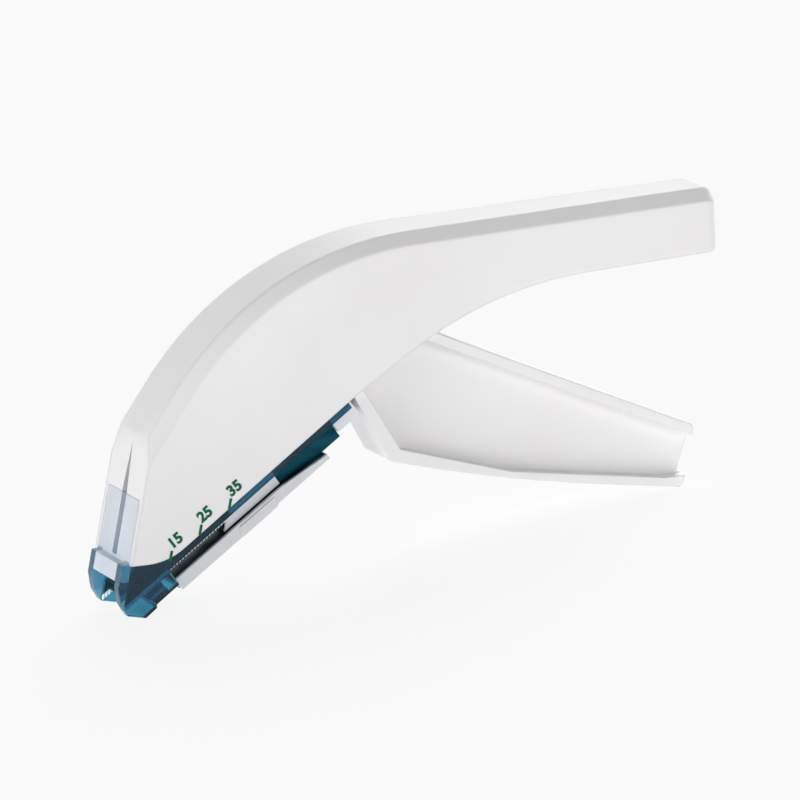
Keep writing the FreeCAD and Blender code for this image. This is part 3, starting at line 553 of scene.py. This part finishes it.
def stapleLine(place):
    # from one ground point up the leg, round the bend and along half the crown
    wire = staple["wire"]
    side = staple["half"] - wire / 2
    top = -wire / 2
    half = [
        (side, -staple["leg"], staple["pointEnd"]),
        (side, -staple["leg"] + staple["point"] / 2, staple["pointMiddle"]),
        (side, -staple["leg"] + staple["point"], 1.0),
    ]
    for k in range(staple["bendSteps"] + 1):
        turn = math.pi / 2 * k / staple["bendSteps"]
        across = side - staple["bend"] * (1 - math.cos(turn))
        half.append((across, top - staple["bend"] * (1 - math.sin(turn)), 1.0))
    both = half + [(-across, up, thick) for across, up, thick in reversed(half)]
    points = [place + noseUp * up + Vector((0, across, 0)) for across, up, thick in both]
    radii = [wire / 2 * thick for across, up, thick in both]
    return points, radii


def makeStaples(name, first, last, replaced):
    wires = [stapleLine(crownPoint + queueWay * stapleStep * i) for i in range(first, last)]
    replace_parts(addPiece(name, wireMesh(name, wires), "wire"), replaced)


makeStaples("first_wire_staple", 0, 1, "first_staple")
makeStaples("wire_staple_row", 1, staple["count"], "staple_row")
print("staples bent:", staple["count"])


# springs of round wire

turnSteps = 28
returnSpring = {
    "radius": 3.6 * mm,
    "wireRadius": 0.35 * mm,
    "turns": 2.43,
    "pitch": 0.756 * mm,
    "start": 4.05 * mm,  # across, from the seam
    "lean": math.radians(25.7),
    "restLeg": 9.8 * mm,
    "crossLeg": 4.2 * mm,
    "holdLeg": 10.5 * mm,
    "elbowReach": 0.9 * mm,
    "elbowSteps": 8,
}
followerSpring = {
    "radius": 0.98 * mm,
    "wireRadius": 0.17 * mm,
    "start": 40.78 * mm,  # along the queue, from the first crown
    "end": 57.43 * mm,
    "drop": 2.547 * mm,
    "turns": 18.0,
    "closedTurns": 1.25,
    "closedPitch": 2.05,  # in wire radii
}


def roundCorner(before, corner, after, reach, steps):
    # points of a soft bend that takes the place of a sharp corner
    start = corner + (before - corner).normalized() * reach
    end = corner + (after - corner).normalized() * reach
    points = []
    for i in range(steps + 1):
        t = i / steps
        points.append(start * (1 - t) ** 2 + corner * 2 * t * (1 - t) + end * t ** 2)
    return points


def returnSpringLine():
    # a cross leg, a rest leg, the coil and a holding leg, laid on the lever's pivot
    spring = returnSpring
    radius, turns = spring["radius"], spring["turns"]
    sweep = 2 * math.pi * turns
    count = int(turns * turnSteps)
    wound = []
    for i in range(count + 1):
        turn = sweep * i / count
        rise = spring["pitch"] * turns * i / count
        wound.append(Vector((radius * math.cos(turn), radius * math.sin(turn), rise)))
    elbow = Vector((radius, -spring["restLeg"], 0))
    foot = elbow - Vector((0, 0, spring["crossLeg"]))
    bend = roundCorner(foot, elbow, wound[0], spring["elbowReach"], spring["elbowSteps"])
    tail = wound[-1] + Vector((-math.sin(sweep), math.cos(sweep), 0)) * spring["holdLeg"]
    lie = Matrix.Rotation(spring["lean"], 3, "Y") @ Matrix.Rotation(-math.pi / 2, 3, "X")
    centre = layout["datum"] + layout["pivot"] + Vector((0, spring["start"], 0))
    return [centre + lie @ point for point in [foot] + bend + wound + [tail]]


def followerSpringLine():
    # a compression coil whose end turns lie closed
    spring = followerSpring
    length = spring["end"] - spring["start"]
    turns, closed = spring["turns"], spring["closedTurns"]
    closedRise = closed * spring["closedPitch"] * spring["wireRadius"]
    start = crownPoint + queueWay * spring["start"] - queueUp * spring["drop"]
    line = []
    count = int(turns * turnSteps)
    for i in range(count + 1):
        turn = turns * i / count
        openShare = min(max((turn - closed) / (turns - 2 * closed), 0), 1)
        ends = min(turn, closed) + max(turn - (turns - closed), 0)
        along = ends / closed * closedRise + openShare * (length - 2 * closedRise)
        angle = 2 * math.pi * turn
        across = Vector((0, math.sin(angle), 0)) - queueUp * math.cos(angle)
        line.append(start + queueWay * along + across * spring["radius"])
    return line


springLines = {
    "return_spring": (returnSpringLine(), returnSpring["wireRadius"]),
    "follower_spring": (followerSpringLine(), followerSpring["wireRadius"]),
}
for replaced, (line, radius) in springLines.items():
    name = replaced + "_wire"
    mesh = wireMesh(name, [(line, [radius] * len(line))])
    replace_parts(addPiece(name, mesh, "springs"), replaced)
print("springs wound:", len(springLines))


# counting marks printed on the left side

marks = {
    "counts": (15, 25, 35),
    "tickWidth": 0.64 * mm,
    "tickLow": 0.25 * mm,
    "tickHigh": 1.85 * mm,
    "tickShift": -0.35 * mm,
    "textSize": 3.4 * mm,
    "textLow": 2.05 * mm,
    "textShift": -0.15 * mm,
    "textBold": 0.15 * mm,
    "textSpacing": 1.02,
    "lift": 0.045 * mm,
}
draft = (layout["halfNose"] - layout["halfTail"]) / (layout["tailX"] - layout["frontX"])


def besideQueue(count, shift, up):
    # on the seam plane, half a step behind the staple of that number
    return crownPoint + queueWay * ((count - 0.5) * stapleStep + shift) + queueUp * up


def ontoSide(point):
    # a point of the seam plane carried out to the drafted side, a hair off it
    along = point.x - layout["datum"].x - layout["frontX"]
    out = layout["halfNose"] - along * draft + marks["lift"]
    return Vector((point.x, -out, point.z))


def tickMesh(count):
    top = besideQueue(count, marks["tickShift"], marks["tickHigh"])
    rise = marks["tickHigh"] - marks["tickLow"]
    low = top - noseUp * (rise / noseUp.dot(queueUp))
    half = noseBack * marks["tickWidth"] / 2
    shape = bmesh.new()
    shape.faces.new([
        shape.verts.new(ontoSide(corner))
        for corner in (low - half, low + half, top + half, top - half)
    ])
    return meshFrom("tick", shape)


def numberMesh(count):
    text = bpy.data.curves.new("number", "FONT")
    text.body = str(count)
    text.size = marks["textSize"]
    text.offset = marks["textBold"]
    text.space_character = marks["textSpacing"]
    holder = placed("number", text)
    bpy.context.view_layer.update()
    made = bpy.data.meshes.new_from_object(holder)
    bpy.data.objects.remove(holder)
    start = besideQueue(count, marks["textShift"], marks["textLow"])
    for vertex in made.vertices:
        vertex.co = ontoSide(start + queueWay * vertex.co.x + queueUp * vertex.co.y)
    return made


for count in marks["counts"]:
    addPiece("tick_%d" % count, tickMesh(count), "ink")
    addPiece("number_%d" % count, numberMesh(count), "ink")
print("marks printed:", len(marks["counts"]))


# floor, lights and camera

studio = {
    "floorSize": 12.0,
    "floorColour": (0.86, 0.86, 0.87),
    "floorRoughness": 0.9,
    "floorGlow": 0.87,
    "floorLift": 0.62,
    "roomLight": 0.20,
}
suns = {
    "overheadBack": {"way": (0.50, 0.62, 0.60), "spread": 40, "power": 2.05},
    "frontRight": {"way": (0.50, -0.86, 0.03), "spread": 30, "power": 1.2},
    "left": {"way": (-0.95, -0.20, 0.12), "spread": 30, "power": 1.95},
}


def paleFloor():
    material, tree, shader = newMaterial("paleFloor")
    shader.inputs["Base Color"].default_value = (*studio["floorColour"], 1)
    shader.inputs["Roughness"].default_value = studio["floorRoughness"]
    shader.inputs["Specular IOR Level"].default_value = 0.0
    seen = seenDirectly(tree)
    # the table itself lights the object from below, without looking brighter
    shader.inputs["Emission Color"].default_value = (1, 1, 1, 1)
    lift = between(tree, seen, studio["floorLift"], 0.0)
    tree.links.new(lift, shader.inputs["Emission Strength"])
    # where it is seen, most of it is plain white, and the rest keeps the shadow
    glow = tree.nodes.new("ShaderNodeEmission")
    mix = tree.nodes.new("ShaderNodeMixShader")
    tree.links.new(between(tree, seen, 0.0, studio["floorGlow"]), mix.inputs["Fac"])
    tree.links.new(shader.outputs[0], mix.inputs[1])
    tree.links.new(glow.outputs[0], mix.inputs[2])
    tree.links.new(mix.outputs[0], tree.nodes["Material Output"].inputs["Surface"])
    return material


def makeFloor():
    shape = bmesh.new()
    bmesh.ops.create_grid(shape, x_segments=1, y_segments=1, size=studio["floorSize"] / 2)
    made = meshFrom("floor", shape)
    made.materials.append(paleFloor())
    placed("floor", made)


def makeRoom():
    world = bpy.data.worlds.new("room")
    world.use_nodes = True
    bpy.context.scene.world = world
    tree = world.node_tree
    back = tree.nodes["Background"]
    back.inputs["Color"].default_value = (1, 1, 1, 1)
    level = between(tree, seenDirectly(tree), studio["roomLight"], 1.0)
    tree.links.new(level, back.inputs["Strength"])


def makeSuns():
    for name, sun in suns.items():
        light = bpy.data.lights.new(name, "SUN")
        light.energy = sun["power"]
        light.angle = math.radians(sun["spread"])
        holder = placed(name, light)
        holder.rotation_euler = Vector(sun["way"]).to_track_quat("Z", "Y").to_euler()


# the photograph's own level is tipped from the table's by the lean
shot = {
    "azimuth": math.radians(-23.5),
    "elevation": math.radians(12.0),
    "lean": math.radians(7.7),
    "away": 1.5,
    "span": 0.17467,  # how wide the picture is at the aim
    "aim": Vector((10.945, 0, -13.084)) * mm,
    "sensor": 36,
    "nearest": 0.05,
    "farthest": 50,
}


def makeCamera():
    lens = bpy.data.cameras.new("camera")
    lens.sensor_width = shot["sensor"]
    lens.lens = lens.sensor_width * shot["away"] / shot["span"]
    lens.clip_start = shot["nearest"]
    lens.clip_end = shot["farthest"]
    camera = placed("camera", lens)
    turn, rise = shot["azimuth"], shot["elevation"]
    back = Vector((
        math.sin(turn) * math.cos(rise),
        -math.cos(turn) * math.cos(rise),
        math.sin(rise),
    ))
    right = Vector((math.cos(turn), math.sin(turn), 0))
    lean = Matrix.Rotation(shot["lean"], 3, "Y")
    facing = Matrix((lean @ right, lean @ back.cross(right), lean @ back)).transposed()
    aim = layout["datum"] + shot["aim"]
    camera.matrix_world = Matrix.Translation(aim + lean @ back * shot["away"]) @ facing.to_4x4()
    bpy.context.scene.camera = camera


makeFloor()
makeRoom()
makeSuns()
makeCamera()
bpy.context.scene.view_settings.view_transform = "Standard"
print("studio ready")
